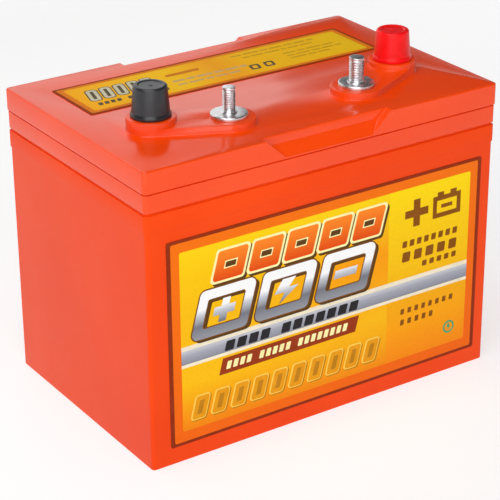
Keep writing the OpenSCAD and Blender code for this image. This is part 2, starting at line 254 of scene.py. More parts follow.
def brass(name):
    s = Shader(name)
    s.colour(s.ramp(s.noise(0.005, 4.0), [(0.3, (0.45, 0.29, 0.09)), (0.7, (0.72, 0.5, 0.2))]))
    s.roughness(s.noise(0.001, 3.0, stretch=(1, 6, 6)), 0.22, 0.42)
    s.bump(s.noise(0.0008, 2.0, stretch=(0.2, 4, 4)), 0.00002)
    s.set(Metallic=1.0)
    return s.material


def rubber(name):
    s = Shader(name)
    s.colour(s.ramp(s.noise(0.003, 4.0), [(0.3, (0.012, 0.012, 0.013)), (0.7, (0.03, 0.03, 0.032))]))
    s.roughness(s.noise(0.002, 3.0), 0.55, 0.75)
    s.bump(s.noise(0.0005, 3.0), 0.00003)
    return s.material


def pasted_plate(name, dark, light):
    """Pasted lead plate: the paste's grain over the faint lines of the grid beneath."""
    s = Shader(name)
    wires = s.tree.nodes.new("ShaderNodeTexBrick")
    wires.inputs["Scale"].default_value = 1.0
    wires.inputs["Brick Width"].default_value = 0.012
    wires.inputs["Row Height"].default_value = 0.007
    wires.inputs["Mortar Size"].default_value = 0.0007
    wires.offset = 0.0
    turn = s.tree.nodes.new("ShaderNodeMapping")
    turn.vector_type = "TEXTURE"
    turn.inputs["Rotation"].default_value = (math.radians(90), 0, math.radians(90))
    s.link(s.place, turn.inputs["Vector"])
    s.link(turn.outputs["Vector"], wires.inputs["Vector"])
    grain = s.ramp(s.noise(0.002, 6.0), [(0.3, dark), (0.7, light)])
    s.colour(s.mix(s.maths("MULTIPLY", wires.outputs["Fac"], 0.35), grain, light))
    s.roughness(s.noise(0.003, 4.0), 0.7, 0.92)
    s.bump(wires.outputs["Fac"], 0.0002)
    s.bump(s.noise(0.0009, 5.0), 0.00018)
    return s.material


def glass_mat(name):
    """White glass-fibre felt: matted fibres with a soft sheen."""
    s = Shader(name)
    fibres = s.noise(0.0011, 6.0, stretch=(1, 0.2, 1), roughness=0.7)
    s.colour(s.ramp(fibres, [(0.3, (0.62, 0.61, 0.58)), (0.7, (0.88, 0.88, 0.86))]))
    s.roughness(fibres, 0.85, 1.0)
    s.bump(fibres, 0.0003)
    s.set(Sheen_Weight=0.3, Sheen_Roughness=0.5)
    return s.material


def printed_ink(name, tone_of, gloss=0.3, shine=0.12):
    """Ink on a vinyl label. tone_of(shader) gives the ink's colour socket."""
    s = Shader(name)
    tone = tone_of(s)
    speckle = s.ramp(s.noise(0.0007, 2.0), [(0.3, 0.93), (0.7, 1.0)])
    s.colour(s.mix(1.0, tone, speckle, "MULTIPLY"))
    s.roughness(s.noise(0.012, 3.0), gloss - 0.05, gloss + 0.07)
    s.bump(s.noise(0.02, 2.0), 0.00005)
    s.set(IOR=1.45, Specular_IOR_Level=shine)
    return s.material


def flat_ink(name, colour, gloss=0.3, shine=0.12):
    """A single ink, with the slight unevenness of print."""
    lighter = tuple(min(1.0, c * 1.08 + 0.004) for c in colour)

    def tone(s):
        return s.ramp(s.noise(0.008, 2.0), [(0.35, colour), (0.65, lighter)])

    return printed_ink(name, tone, gloss, shine)


CASE_BRIGHT = srgb(246, 74, 10)
CASE_DEEP = srgb(239, 66, 6)
CASE_SPECK = srgb(255, 120, 40)
BLACK_DEEP = (0.006, 0.007, 0.01)
BLACK_BRIGHT = (0.014, 0.015, 0.02)
RED_DEEP = srgb(236, 4, 8)
RED_BRIGHT = srgb(250, 14, 16)

lid_gloss = case_plastic("lid_plastic", 0.13, 0.24, 0.00012, 0.4)
box_gloss = case_plastic("container_plastic", 0.28, 0.4, 0.00006, 0.1)
cap_materials = {
    "negative": cap_plastic("black_cap_plastic", BLACK_DEEP, BLACK_BRIGHT, 0.6),
    "positive": cap_plastic("red_cap_plastic", RED_DEEP, RED_BRIGHT, 0.25),
}
steel = bright_steel("bright_stud_steel")
lead = cast_lead("cast_lead")
link_brass = brass("link_brass")
valve_rubber = rubber("valve_rubber")
positive_paste = pasted_plate("positive_paste", (0.035, 0.014, 0.008), (0.11, 0.045, 0.022))
negative_paste = pasted_plate("negative_paste", (0.1, 0.102, 0.105), (0.23, 0.23, 0.235))
fibre_mat = glass_mat("glass_mat_fibre")

CAD_MATERIALS = {
    "valve_cover": box_gloss,
    "relief_valve": valve_rubber,
    "negative_link": link_brass,
    "positive_link": link_brass,
    "negative_pillar": lead,
    "positive_pillar": lead,
    "positive_plates": positive_paste,
    "negative_plates": negative_paste,
    "separators": fibre_mat,
    "positive_strap": lead,
    "negative_strap": lead,
    "intercell_welds": lead,
}


def paint(thing, material):
    thing.data.materials.clear()
    thing.data.materials.append(material)


def paint_cad_nodes():
    """Gives every CAD node that stays in view its material."""
    for name, node in nodes.items():
        base = name.rstrip("0123456789").rstrip("_")
        if base in CAD_MATERIALS:
            paint(node, CAD_MATERIALS[base])


# ---------------------------------------------------------------- mesh helpers


def as_piece(name, mesh_data, material, body=BODY, replaced=()):
    thing = bpy.data.objects.new(name, mesh_data)
    bpy.context.scene.collection.objects.link(thing)
    paint(thing, material)
    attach(thing, body)
    if replaced:
        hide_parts(*replaced)
    return thing


def finished(thing):
    """Applies the modifiers of thing and drops them."""
    bpy.context.view_layer.update()
    graph = bpy.context.evaluated_depsgraph_get()
    result = bpy.data.meshes.new_from_object(thing.evaluated_get(graph))
    thing.modifiers.clear()
    thing.data = result
    return thing


def smooth_by_angle(mesh_data, degrees):
    """Smooth faces, with every edge sharper than degrees kept crisp."""
    for polygon in mesh_data.polygons:
        polygon.use_smooth = True
    mesh_data.set_sharp_from_angle(angle=math.radians(degrees))


def welded(node):
    """A mesh of a CAD node with its doubled corners joined and its flat faces whole."""
    shape = bmesh.new()
    shape.from_mesh(nodes[node].data)
    bmesh.ops.remove_doubles(shape, verts=shape.verts, dist=1e-6)
    bmesh.ops.dissolve_limit(
        shape, angle_limit=math.radians(0.5), verts=shape.verts, edges=shape.edges
    )
    return shape


def eased_copy(name, node, material, ease_of):
    """Stands for a CAD node, with its sharp edges rounded. ease_of(edge) gives each sharp edge's
    radius in metres."""
    shape = welded(node)
    weights = shape.edges.layers.float.new("bevel_weight_edge")
    widest = 0.0
    for edge in shape.edges:
        if len(edge.link_faces) == 2 and edge.calc_face_angle() > math.radians(30):
            edge[weights] = ease_of(edge)
            widest = max(widest, edge[weights])
    for edge in shape.edges:
        edge[weights] /= widest
    mesh_data = bpy.data.meshes.new(name)
    shape.to_mesh(mesh_data)
    shape.free()
    piece = as_piece(name, mesh_data, material, replaced=[node])
    bevel = piece.modifiers.new("ease", "BEVEL")
    bevel.limit_method = "WEIGHT"
    bevel.width = widest
    bevel.segments = 3
    bevel.use_clamp_overlap = False
    finished(piece)
    smooth_by_angle(piece.data, 35)
    return piece


def lathe(name, profile, centre, material, body, replaced, around=96, radius_at=None):
    """Turns a profile of (radius, height) points round an upright axis through centre. A profile
    that starts and ends on the axis gives a closed solid."""
    shape = bmesh.new()
    rings = []
    for radius, height in profile:
        if radius < 1e-7:
            rings.append([shape.verts.new((centre[0], centre[1], height))])
            continue
        ring = []
        for k in range(around):
            turn = 2 * math.pi * k / around
            reach = radius_at(radius, height, turn) if radius_at else radius
            ring.append(shape.verts.new((
                centre[0] + reach * math.cos(turn),
                centre[1] + reach * math.sin(turn),
                height,
            )))
        rings.append(ring)
    for lower, upper in zip(rings, rings[1:]):
        for k in range(around):
            j = (k + 1) % around
            below = [lower[k % len(lower)], lower[j % len(lower)]]
            above = [upper[j % len(upper)], upper[k % len(upper)]]
            corners = list(dict.fromkeys(below + above))
            if len(corners) > 2:
                shape.faces.new(corners)
    bmesh.ops.recalc_face_normals(shape, faces=shape.faces)
    mesh_data = bpy.data.meshes.new(name)
    shape.to_mesh(mesh_data)
    shape.free()
    smooth_by_angle(mesh_data, 40)
    return as_piece(name, mesh_data, material, body, replaced)


def rounded(points, radii, steps=5):
    """A polyline whose inner corners are replaced by arcs. radii has one radius for each corner,
    and the first and last points stay."""
    out = [points[0]]
    for before, corner, after, radius in zip(points, points[1:], points[2:], radii):
        out.extend(arc_at(before, corner, after, radius, steps))
    out.append(points[-1])
    return out


def arc_at(before, corner, after, radius, steps):
    """Points of the arc that rounds one corner."""
    if radius <= 0:
        return [corner]
    corner_v = Vector(corner)
    to_before = (Vector(before) - corner_v).normalized()
    to_after = (Vector(after) - corner_v).normalized()
    half = to_before.angle(to_after) / 2
    if half > math.radians(89.5):
        return [corner]
    reach = min(
        radius / math.tan(half),
        0.49 * (Vector(before) - corner_v).length,
        0.49 * (Vector(after) - corner_v).length,
    )
    radius = reach * math.tan(half)
    centre = corner_v + (to_before + to_after).normalized() * (radius / math.sin(half))
    start = corner_v + to_before * reach - centre
    end = corner_v + to_after * reach - centre
    sweep = math.atan2(start.x * end.y - start.y * end.x, start.dot(end))
    points = []
    for k in range(steps + 1):
        turn = sweep * k / steps
        c, s = math.cos(turn), math.sin(turn)
        points.append((
            centre.x + c * start.x - s * start.y,
            centre.y + s * start.x + c * start.y,
        ))
    return points


# ---------------------------------------------------------------- case

TOP_EDGE_MM = 1.1
SIDE_EDGE_MM = 0.6
FINE_EDGE_MM = 0.3
OUTER_BAND_MM = 2


def case_ease(edge):
    """Edges of the lid's top are the roundest, small steps and grooves the sharpest."""
    middle = (edge.verts[0].co + edge.verts[1].co) / 2
    on_top = abs(middle.z - lid_top) < 1e-4
    band = OUTER_BAND_MM * MM
    outer = abs(middle.x) > cad_high.x - band or abs(middle.y) > cad_high.y - band
    if on_top and outer:
        return TOP_EDGE_MM * MM
    if on_top or middle.z < 1e-4:
        return SIDE_EDGE_MM * MM
    return FINE_EDGE_MM * MM


def make_case():
    eased_copy("container_shell", "container", box_gloss, case_ease)
    eased_copy("lid_shell", "lid", lid_gloss, case_ease)


# ---------------------------------------------------------------- terminals

POST_TOP_MM = {"negative": 15.9, "positive": 17.5}
POST_TAPER = 1 / 9
POST_EDGE_MM = 0.35

CAP_TOP_R_MM = {"negative": 10.2, "positive": 10.4}
CAP_CLEARANCE_MM = 0.4
LIP_H_MM = 1.7
LIP_OUT_MM = 0.8
LIP_SLOPE_MM = 1.5
CROWN_RIM_MM = 2.6
DISH_SLOPE_MM = 0.8
DISH_DEPTH_MM = 0.45
GATE_R_MM = 0.9
GATE_SLOPE_MM = 0.3
GATE_DEPTH_MM = 0.15

STUD_R_MM = {"negative": 3.97, "positive": 4.76}
STUD_THREADS_PER_INCH = {"negative": 18, "positive": 16}
INCH_MM = 25.4
FOOT_R_MM = 8
FOOT_H_MM = 1.5
BARREL_R_MM = 5.5
BURIED_MM = 8
FLANGE_T_MM = 2.5
ROOT_OUT_MM = 1.2
ROOT_TOP_OUT_MM = 0.9
ROOT_H_MM = 0.5
PLAIN_FOOT_MM = 0.8
TIP_MM = 0.9
THREAD_STEPS = 12
THREAD_DEPTH = 0.6
THREAD_CREST = 1.25
THREAD_SLOPE = 1.15


def middle_of(node):
    low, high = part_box(node)
    return (low + high) / 2


def scaled(points, foot=0.0):
    """Points in millimetres as metres, with heights counted from foot."""
    return [(u * MM, foot + v * MM) for u, v in points]


def make_cap(side):
    """A push-on cap: flared lip, tapered skirt, rounded crown with a shallow dish and a gate mark."""
    low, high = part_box(side + "_cap")
    height = (high.z - low.z) / MM
    base_r = (high.x - low.x) / 2 / MM
    top_r = CAP_TOP_R_MM[side]
    post_h = (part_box(side + "_post")[1].z - low.z) / MM
    bore_top_r = POST_TOP_MM[side] / 2 + CAP_CLEARANCE_MM
    bore_foot_r = bore_top_r + post_h * POST_TAPER / 2
    ceiling = post_h + CAP_CLEARANCE_MM
    dish_r = top_r - CROWN_RIM_MM - DISH_SLOPE_MM
    corners = [
        (0, ceiling),
        (bore_top_r, ceiling),
        (bore_foot_r, 0),
        (base_r, 0),
        (base_r, LIP_H_MM),
        (base_r - LIP_OUT_MM, LIP_H_MM + LIP_SLOPE_MM),
        (top_r, height),
        (top_r - CROWN_RIM_MM, height),
        (dish_r, height - DISH_DEPTH_MM),
        (GATE_R_MM + GATE_SLOPE_MM, height - DISH_DEPTH_MM),
        (GATE_R_MM, height - GATE_DEPTH_MM),
        (0, height - GATE_DEPTH_MM),
    ]
    radii = [1, 0.4, 0.5, 0.8, 1.5, 1.5, 0.5, 0.5, 0.3, 0.2]
    lathe(
        side + "_cap_moulding", scaled(rounded(corners, radii), low.z), middle_of(side + "_cap"),
        cap_materials[side], side + "_cap", [side + "_cap"]
    )


def thread_radius(major, pitch, start, end):
    """The radius of a screw thread at any height and turn. The thread fades out at both ends."""

    def radius_at(radius, height, turn):
        if not start <= height <= end or radius < major - 1e-6:
            return radius
        phase = (height / pitch - turn / (2 * math.pi)) % 1
        groove = THREAD_CREST * (1 - abs(2 * phase - 1) * THREAD_SLOPE)
        fade = min(1.0, (height - start) / pitch, (end - height) / pitch)
        return radius - THREAD_DEPTH * pitch * max(0.0, min(1.0, groove)) * max(0.0, fade)

    return radius_at


def make_stud(side):
    """A threaded stud with its round flange, and the foot that holds it in the lid."""
    low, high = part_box(side + "_stud")
    flange_r = (high.x - low.x) / 2 / MM
    major = STUD_R_MM[side]
    seat = BURIED_MM + FLANGE_T_MM
    foot = [
        (0, 0),
        (FOOT_R_MM, 0),
        (FOOT_R_MM, FOOT_H_MM),
        (BARREL_R_MM, FOOT_H_MM),
        (BARREL_R_MM, BURIED_MM),
        (flange_r, BURIED_MM),
        (flange_r, seat),
        (major + ROOT_OUT_MM, seat),
        (major + ROOT_TOP_OUT_MM, seat + ROOT_H_MM),
        (major, seat + ROOT_H_MM),
        (major, seat + PLAIN_FOOT_MM),
    ]
    radii = [0.3, 0.3, 0, 0, 0.3, 0.7, 0, 0.3, 0]
    major *= MM
    pitch = INCH_MM * MM / STUD_THREADS_PER_INCH[side]
    start = low.z + (seat + PLAIN_FOOT_MM) * MM
    end = high.z - TIP_MM * MM
    steps = int((end - start) / (pitch / THREAD_STEPS))
    thread = [(major, start + (end - start) * k / steps) for k in range(1, steps + 1)]
    tip = rounded([(major, end), (major, high.z), (0, high.z)], [TIP_MM * MM])[1:]
    lathe(
        side + "_stud_threaded", scaled(rounded(foot, radii), low.z) + thread + tip,
        middle_of(side + "_stud"), steel, BODY, [side + "_stud"],
        around=72, radius_at=thread_radius(major, pitch, start, end)
    )


def make_post(side):
    eased_copy(
        side + "_post_casting", side + "_post", lead, lambda edge: POST_EDGE_MM * MM
    )


# ---------------------------------------------------------------- label drawing

INK_MM = 0.05
SLANT = 0.27
BAR_CORNER = 0.3
BAR_GAP = 1.4


class Sheet:
    """A flat label. Print is laid out on it in millimetres, u to the right and v up."""

    def __init__(self, right, up, out, origin):
        columns = [Vector(right), Vector(up), Vector(out), Vector(origin)]
        rows = [[column[row] for column in columns] for row in range(3)]
        self.matrix = Matrix(rows + [[0, 0, 0, 1]])

    def printed(self, name, outlines, layer, material):
        """Thin closed shapes standing on the label. An outline inside another is a hole in it."""
        curve = bpy.data.curves.new(name, "CURVE")
        curve.dimensions = "2D"
        curve.fill_mode = "BOTH"
        curve.extrude = INK_MM * MM * (layer + 1) / 2
        for outline in outlines:
            spline = curve.splines.new("POLY")
            spline.points.add(len(outline) - 1)
            for point, (u, v) in zip(spline.points, outline):
                point.co = (u * MM, v * MM, 0, 1)
            spline.use_cyclic_u = True
        draft = bpy.data.objects.new(name, curve)
        bpy.context.scene.collection.objects.link(draft)
        bpy.context.view_layer.update()
        graph = bpy.context.evaluated_depsgraph_get()
        mesh_data = bpy.data.meshes.new_from_object(draft.evaluated_get(graph))
        bpy.data.objects.remove(draft)
        shape = bmesh.new()
        shape.from_mesh(mesh_data)
        bmesh.ops.remove_doubles(shape, verts=shape.verts, dist=1e-7)
        bmesh.ops.translate(shape, verts=shape.verts, vec=(0, 0, curve.extrude))
        bmesh.ops.transform(shape, matrix=self.matrix, verts=shape.verts)
        bmesh.ops.recalc_face_normals(shape, faces=shape.faces)
        shape.to_mesh(mesh_data)
        shape.free()
        return as_piece(name, mesh_data, material)


def box_outline(u0, v0, u1, v1, radius=0.0, lean=0.0):
    """A rectangle, with round corners, that leans right by lean millimetres per millimetre."""
    rise = lean * (v1 - v0)
    return round_all([(u0, v0), (u1, v0), (u1 + rise, v1), (u0 + rise, v1)], radius)


def round_all(corners, radius, soft=None):
    """A closed outline with its corners rounded, or only those whose numbers are in soft."""
    if radius <= 0:
        return corners
    out = []
    count = len(corners)
    for k, corner in enumerate(corners):
        bend = radius if soft is None or k in soft else 0
        out.extend(arc_at(corners[k - 1], corner, corners[(k + 1) % count], bend, 5))
    return out


def moved(outline, du, dv):
    return [(u + du, v + dv) for u, v in outline]


def grown(corners, by):
    """The outline with each side moved outwards. Corners run anticlockwise."""
    out = []
    count = len(corners)
    for k, corner in enumerate(corners):
        here = Vector(corner)
        a = (here - Vector(corners[k - 1])).normalized()
        b = (Vector(corners[(k + 1) % count]) - here).normalized()
        normal_a, normal_b = Vector((a.y, -a.x)), Vector((b.y, -b.x))
        mitre = (normal_a + normal_b) / (1 + normal_a.dot(normal_b))
        out.append(tuple(here + mitre * by))
    return out


def swollen(shapes, by, radius, shift=(0, 0)):
    """The shapes grown by some millimetres, with round corners, and shifted."""
    sized = [grown(shape, by) if by else shape for shape in shapes]
    return [moved(round_all(shape, radius), *shift) for shape in sized]


def leaning(outline, v0):
    """Slants an outline to the right, about the height v0."""
    return [(u + SLANT * (v - v0), v) for u, v in outline]


def slanted_row(count, u, v, width, height, pitch):
    """A row of slanted boxes, the first with its lower left corner at (u, v)."""
    starts = [u + pitch * k for k in range(count)]
    return [box_outline(start, v, start + width, v + height, 0, SLANT) for start in starts]


def plus_outline(u, v, size, arm):
    s, a = size / 2, arm / 2
    return [
        (u - a, v - s), (u + a, v - s), (u + a, v - a), (u + s, v - a), (u + s, v + a), (u + a, v + a),
        (u + a, v + s), (u - a, v + s), (u - a, v + a), (u - s, v + a), (u - s, v - a), (u - a, v - a),
    ]


def minus_outline(u, v, size, arm):
    return box_outline(u - size / 2, v - arm / 2, u + size / 2, v + arm / 2)


def bolt_outline(u, v, width, height):
    """A lightning bolt."""
    shape = [(-0.18, -0.5), (0.5, 0.12), (0.08, 0.12), (0.3, 0.5), (-0.28, 0.5), (-0.5, -0.06)]
    shape.append((-0.06, -0.06))
    return [(u + x * width, v + y * height) for x, y in shape]


def circle_outline(u, v, radius, steps=32):
    turns = [2 * math.pi * k / steps for k in range(steps)]
    return [(u + radius * math.cos(turn), v + radius * math.sin(turn)) for turn in turns]


def block_row(words, u, v, height, pitch, fill, gap, lean, radius):
    """A row of small blocks in groups, in place of a line of print. fill and gap are shares of the
    pitch."""
    out = []
    for count in words:
        for _ in range(count):
            out.append(box_outline(u, v, u + pitch * fill, v + height, radius, lean))
            u += pitch
        u += pitch * gap
    return out


def bar_rows(rows):
    """Lines of fine print, drawn as one bar for each word. A row holds its words' lengths, its
    start, its foot and its height."""
    out = []
    for lengths, u, v, height in rows:
        for length in lengths:
            out.append(box_outline(u, v, u + length, v + height, BAR_CORNER))
            u += length + BAR_GAP
    return out


# ---------------------------------------------------------------- inks

BROWN = srgb(150, 52, 8)
DARK_BROWN = srgb(142, 42, 0)
CREAM = srgb(255, 240, 170)
WHITE = srgb(250, 250, 250)
SILVER = srgb(196, 199, 206)
GREY = srgb(118, 120, 130)
CHARCOAL = srgb(38, 36, 40)
GREEN = srgb(60, 160, 110)

# Where each colour change starts and ends, in metres.
FRAME_Z = (0.012, 0.148)
PANEL_Z = (0.0205, 0.1405)
WARM_PATCH_X = (-0.09, 0.03)
GAUGE_Z = (0.114, 0.135)
BIG_ICON_Z = (0.08, 0.111)
STRIPE_Z = (0.0658, 0.0754)
TOP_PANEL_X = (-0.104, 0.104)
MATT = {"gloss": 0.5, "shine": 0.04}


def across(span, stops, axis=2):
    """An ink whose colour changes along an axis, as stops of (share of the span, colour)."""
    return lambda s: s.ramp(s.along(axis, *span), stops)


def front_panel_tone(s):
    """Yellow at the top and amber at the foot, with a warmer patch behind the middle."""
    height = s.along(2, *PANEL_Z)
    near_left = s.ramp(height, [
        (0.0, srgb(246, 134, 2)), (0.12, srgb(250, 160, 4)), (0.26, srgb(254, 192, 6)),
        (0.6, srgb(250, 188, 6)), (0.85, srgb(252, 198, 0)), (1.0, srgb(255, 210, 4)),
    ])
    near_middle = s.ramp(height, [
        (0.0, srgb(246, 140, 4)), (0.12, srgb(250, 168, 6)), (0.3, srgb(254, 188, 8)),
        (0.46, srgb(252, 170, 4)), (0.66, srgb(252, 158, 2)), (0.8, srgb(248, 186, 4)),
        (1.0, srgb(253, 212, 6)),
    ])
    middle = s.ramp(s.along(0, *WARM_PATCH_X), [(0.2, 0.0), (1.0, 1.0)], True)
    return s.mix(middle, near_left, near_middle)


FRAME_TONES = [(0.0, srgb(246, 104, 4)), (1.0, srgb(246, 114, 2))]
SIDE_PANEL_TONES = [
    (0.0, srgb(252, 140, 4)), (0.22, srgb(254, 166, 2)), (0.35, srgb(248, 172, 4)),
    (0.55, srgb(250, 194, 6)), (0.8, srgb(252, 206, 4)), (1.0, srgb(255, 218, 2)),
]
TOP_PANEL_TONES = [
    (0.0, srgb(252, 176, 16)), (0.34, srgb(252, 196, 16)), (0.5, srgb(246, 164, 18)),
    (0.62, srgb(246, 184, 12)), (1.0, srgb(240, 192, 24)),
]
GAUGE_TONES = [(0.0, srgb(228, 70, 0)), (1.0, srgb(255, 140, 36))]
SILVER_TONES = [(0.0, srgb(150, 152, 160)), (0.28, GREY), (0.5, SILVER), (0.62, WHITE)]
STRIPE_TONES = [(0.0, srgb(140, 142, 154)), (0.6, srgb(166, 168, 180)), (1.0, srgb(206, 206, 212))]

border_ink = flat_ink("border_ink", DARK_BROWN)
frame_ink = printed_ink("frame_ink", across(FRAME_Z, FRAME_TONES))
panel_ink = printed_ink("panel_ink", front_panel_tone)
side_panel_ink = printed_ink("side_panel_ink", across(PANEL_Z, SIDE_PANEL_TONES))
top_border_ink = flat_ink("top_border_ink", srgb(150, 54, 4), **MATT)
top_frame_ink = flat_ink("top_frame_ink", srgb(224, 122, 16), **MATT)
top_panel_ink = printed_ink("top_panel_ink", across(TOP_PANEL_X, TOP_PANEL_TONES, 0), **MATT)
gauge_ink = printed_ink("gauge_ink", across(GAUGE_Z, GAUGE_TONES))
silver_ink = printed_ink("silver_ink", across(BIG_ICON_Z, SILVER_TONES))
stripe_ink = printed_ink("stripe_ink", across(STRIPE_Z, STRIPE_TONES))
top_silver_ink = flat_ink("top_silver_ink", srgb(204, 196, 168), **MATT)
top_shadow_ink = flat_ink("top_shadow_ink", srgb(92, 82, 58), **MATT)
top_bar_ink = flat_ink("top_bar_ink", srgb(206, 120, 20), **MATT)
top_pale_ink = flat_ink("top_pale_ink", srgb(206, 166, 104), **MATT)
top_fine_ink = flat_ink("top_fine_ink", srgb(206, 158, 22), **MATT)
edge_ink = flat_ink("edge_ink", srgb(120, 70, 10))
shadow_ink = flat_ink("shadow_ink", srgb(92, 58, 14))
cream_ink = flat_ink("cream_ink", CREAM)
white_ink = flat_ink("white_ink", srgb(240, 228, 200))
black_ink = flat_ink("black_ink", CHARCOAL)
ribbon_ink = flat_ink("ribbon_ink", BROWN)
brown_ink = flat_ink("brown_ink", srgb(136, 76, 0))
pattern_ink = flat_ink("pattern_ink", srgb(192, 126, 10))
pattern_light_ink = flat_ink("pattern_light_ink", srgb(255, 206, 84))
pattern_face_ink = flat_ink("pattern_face_ink", srgb(232, 154, 10))
green_ink = flat_ink("green_ink", GREEN)

# ---------------------------------------------------------------- front label

# Half widths from the label's middle line, and heights above the floor.
FRAME_U, FRAME_V, FRAME_CORNER = 115.2, (13.6, 146.4), 1.2
PANEL_U, PANEL_V, PANEL_CORNER = 109.4, (20.5, 140.2), 1.5
PANEL_SPLIT_U = 44.6

# Rows of slanted boxes: how many, lower left corner, width, height and pitch.
GAUGES = (5, -87, 115, 21.5, 19, 25.6)
BIG_ICONS = (3, -103, 79.8, 40, 31.2, 45)
PATTERN = (10, -104, 26.4, 10.5, 16, 14.3)

GAUGE_MIDDLE = (-76.2, 124.5)
GAUGE_WINDOW = (9, 5)
GAUGE_SHIFT = 9.5 * SLANT
ICON_MIDDLE = (-33.6, 95.4)
ICON_BAR = 5.4
ICON_SHADOW = (2.2, -1.8)
STRIPE_EDGE_V = (63.8, 78)
STRIPE_V = (66, 75.2)
RIBBON = (-83, 51.3, 19.5, 62.2, 0.4)
ROUND_MARK = (96.3, 32.6)
ROUND_MARK_RADII = (4.6, 3.3)
ROUND_MARK_ARROW = (3.2, 4.6)
SIDE_PLUS = (66.5, 122, 18.5, 5.2)

# The battery sign: a box with two small caps on its top side, its hole and its bar.
CELL_EDGE = [
    (79.5, 114), (102, 114), (102, 129), (98.4, 129), (98.4, 131.6), (93.4, 131.6), (93.4, 129),
    (88.1, 129), (88.1, 131.6), (83.1, 131.6), (83.1, 129), (79.5, 129),
]
CELL_HOLE = (82.7, 117.2, 98.8, 125.8)
CELL_BAR = (90.7, 121.5, 9, 2.6)

# Lines of blocks: letters in each word, start, foot, height, pitch, fill, gap, lean and corner.
STRIPE_LINE = ([4, 7], -79, 66.8, 6.6, 8.6, 0.76, 0.8, SLANT, 0.8)
RIBBON_LINE = ([4, 5, 8], -78, 54.2, 5.2, 4.9, 0.66, 0.9, SLANT, 0.5)
SIDE_LINES = [
    ([8], 55.6, 99.8, 4.4, 5.8, 0.62, 0, 0.1, 0.6),
    ([5], 55.6, 89.6, 6.8, 9.4, 0.66, 0, 0.1, 0.9),
    ([5], 72, 83.2, 3.8, 6.0, 0.6, 0, 0.1, 0.6),
    ([8], 55.6, 52.6, 3.8, 5.7, 0.5, 0, 0.1, 0.5),
    ([5], 55.6, 44.8, 4.0, 5.9, 0.5, 0, 0.1, 0.5),
]


def panel_outline(u0, u1, soft):
    """One of the front label's two panels. Only its corners numbered in soft are round."""
    low, high = PANEL_V
    return round_all([(u0, low), (u1, low), (u1, high), (u0, high)], PANEL_CORNER, soft)


def print_gauges(sheet):
    """The upper row: slanted orange blocks with dark windows."""
    gauges = slanted_row(*GAUGES)
    count, pitch = GAUGES[0], GAUGES[-1]
    u, v = GAUGE_MIDDLE
    middles = [u + pitch * k + GAUGE_SHIFT for k in range(count)]
    windows = [leaning(minus_outline(middle, v, *GAUGE_WINDOW), v) for middle in middles]
    sheet.printed("gauge_shadow", swollen(gauges, 1.6, 2.6, (1.5, -1.7)), 2, shadow_ink)
    sheet.printed("gauge_outline", swollen(gauges, 1.5, 2.6), 3, cream_ink)
    sheet.printed("gauge_blocks", swollen(gauges, 0, 1.8) + windows, 4, gauge_ink)
    sheet.printed("gauge_windows", swollen(windows, -0.8, 0.5), 4, shadow_ink)


def print_big_icons(sheet):
    """The middle row: three silver frames, round a plus, a bolt and a minus."""
    icons = slanted_row(*BIG_ICONS)
    pitch = BIG_ICONS[-1]
    u, v = ICON_MIDDLE
    marks = [
        plus_outline(u - pitch, v, 15, ICON_BAR),
        bolt_outline(u, v, 17, 16),
        minus_outline(u + pitch, v, 17, ICON_BAR),
    ]
    shadows = swollen(icons, 0.5, 4.5, ICON_SHADOW) + swollen(icons, -7, 1, ICON_SHADOW)
    sheet.printed("icon_shadows", shadows, 2, shadow_ink)
    sheet.printed("icon_edges", swollen(icons, 0.9, 4.9) + swollen(icons, -7, 1), 3, edge_ink)
    sheet.printed("icon_frames", swollen(icons, 0, 4) + swollen(icons, -6.3, 1.6), 4, silver_ink)
    sheet.printed("icon_marks", [leaning(mark, v) for mark in marks], 4, silver_ink)


def print_stripe(sheet):
    """The silver stripe across the label, and the brown ribbon under it."""
    edges = box_outline(-PANEL_U, STRIPE_EDGE_V[0], PANEL_U, STRIPE_EDGE_V[1])
    stripe = box_outline(-PANEL_U, STRIPE_V[0], PANEL_U, STRIPE_V[1])
    sheet.printed("stripe_edges", [edges], 2, white_ink)
    sheet.printed("stripe", [stripe], 3, stripe_ink)
    sheet.printed("stripe_blocks", block_row(*STRIPE_LINE), 4, black_ink)
    sheet.printed("ribbon", [box_outline(*RIBBON, SLANT)], 2, ribbon_ink)
    sheet.printed("ribbon_blocks", block_row(*RIBBON_LINE), 3, cream_ink)


def print_pattern(sheet):
    """The lowest row: raised-looking slanted boxes in the panel's own colours."""
    raised = slanted_row(*PATTERN)
    sheet.printed("pattern_shade", swollen(raised, 0.5, 2.4, (0.7, -0.7)), 2, pattern_ink)
    sheet.printed("pattern_light", swollen(raised, 0.3, 2.2), 3, pattern_light_ink)
    sheet.printed("pattern_face", swollen(raised, -0.5, 1.6, (0.2, -0.2)), 4, pattern_face_ink)
    sheet.printed("pattern_windows", swollen(raised, -3.4, 0.6, (0.2, -0.2)), 5, pattern_ink)


def print_side_panel(sheet):
    """The plus, the battery sign, lines of blocks and the small round mark."""
    cell = [CELL_EDGE, box_outline(*CELL_HOLE), minus_outline(*CELL_BAR)]
    sheet.printed("side_icons", [plus_outline(*SIDE_PLUS)] + cell, 2, brown_ink)
    blocks = [block for line in SIDE_LINES for block in block_row(*line)]
    sheet.printed("side_rows", blocks, 2, brown_ink)
    rims = [circle_outline(*ROUND_MARK, radius) for radius in ROUND_MARK_RADII]
    sheet.printed("round_mark", rims, 2, green_ink)
    sheet.printed("round_mark_arrow", [bolt_outline(*ROUND_MARK, *ROUND_MARK_ARROW)], 2, green_ink)


